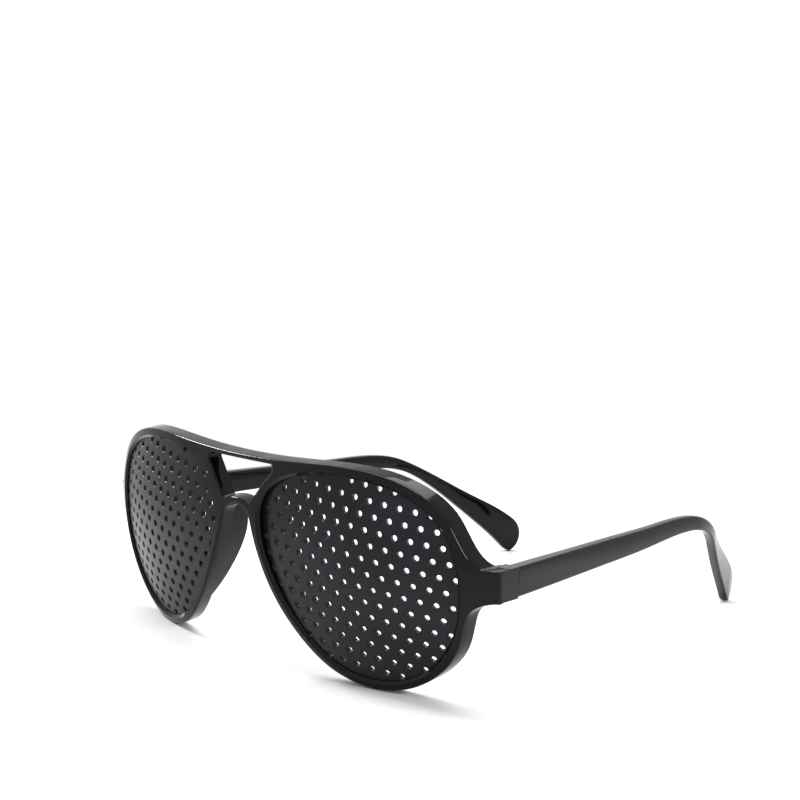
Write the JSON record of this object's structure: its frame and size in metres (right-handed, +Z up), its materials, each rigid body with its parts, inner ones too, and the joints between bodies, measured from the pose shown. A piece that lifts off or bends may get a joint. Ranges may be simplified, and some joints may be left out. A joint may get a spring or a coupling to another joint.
{
  "type": "pinhole glasses",
  "caption": "Pinhole glasses: a black moulded aviator front holds two dished plates drilled with rows of small holes, on folding arms with barrel hinges",
  "frame": {"origin": "centre of the bounding box in X and Y, on the table the glasses stand on: the two rims and the two ear tips touch Z = 0", "axes": "+X to the right seen from the front, +Y from the front back to the ear tips, +Z up; the wearer looks along -Y"},
  "size_m": [0.1438, 0.1594, 0.0546],
  "materials": {
    "front_plastic": "polished black moulding",
    "plate_plastic": "semi-gloss black sheet",
    "arm_plastic": "polished black moulding",
    "hinge_metal": "plated steel leaf",
    "screw_metal": "turned steel"
  },
  "bodies": {
    "front": {"front_frame": "front_plastic", "right_pinhole_plate": "plate_plastic", "left_pinhole_plate": "plate_plastic", "right_front_hinge_leaf": "hinge_metal", "left_front_hinge_leaf": "hinge_metal", "right_hinge_screw": "screw_metal", "left_hinge_screw": "screw_metal"},
    "right_temple": {"right_temple_arm": "arm_plastic", "right_temple_hinge_leaf": "hinge_metal"},
    "left_temple": {"left_temple_arm": "arm_plastic", "left_temple_hinge_leaf": "hinge_metal"}
  },
  "joints": [
    {"name": "right_temple_hinge", "type": "hinge", "parent": "front", "child": "right_temple", "pos_m": [0.06569, -0.05389, 0.03], "axis": [0, 0, 1], "range_deg": [0, 72]},
    {"name": "left_temple_hinge", "type": "hinge", "parent": "front", "child": "left_temple", "pos_m": [-0.06569, -0.05389, 0.03], "axis": [0, 0, -1], "range_deg": [0, 82]}
  ]
}
